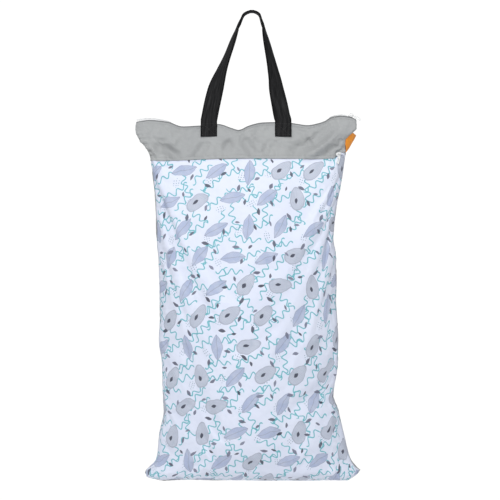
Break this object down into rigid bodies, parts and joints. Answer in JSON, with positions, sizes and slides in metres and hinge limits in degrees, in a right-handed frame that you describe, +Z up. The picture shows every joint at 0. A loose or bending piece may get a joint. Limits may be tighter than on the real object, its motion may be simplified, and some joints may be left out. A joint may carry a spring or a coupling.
{
  "type": "hanging cloth diaper wet bag",
  "caption": "Hanging cloth wet bag, rebuilt full and closed: printed pouch, plain top band, mouth zip, zipped front pocket, webbing strap and a side tag.",
  "frame": {"origin": "underside of the strap at its highest point, where the bag hangs on a peg", "axes": "+Z up along the hanging bag, +Y to the back through its thickness, +X to the viewer's right as the front is seen"},
  "size_m": [0.4103, 0.1294, 0.854],
  "materials": {
    "grey_cloth": "laminated polyester, fine weave, soft sheen",
    "printed_cloth": null,
    "webbing": "black woven polyester webbing",
    "tag_ribbon": "orange woven ribbon",
    "zip_tape": "white knitted zip tape",
    "zip_coil": "white nylon coil",
    "zip_metal": "white painted metal"
  },
  "bodies": {
    "root": {"band_front": "grey_cloth", "panel_front": "printed_cloth", "panel_back": "grey_cloth", "zip_tape_front": "zip_tape", "zip_tape_back": "zip_tape", "zip_coil": "zip_coil", "pocket_zip_coil": "zip_coil", "pocket_zip_tape": "zip_tape", "zip_slider": "zip_metal", "zip_pull": "zip_metal", "pocket_slider": "zip_metal", "pocket_pull": "zip_metal", "strap": "webbing", "side_tag": "tag_ribbon"}
  },
  "joints": []
}
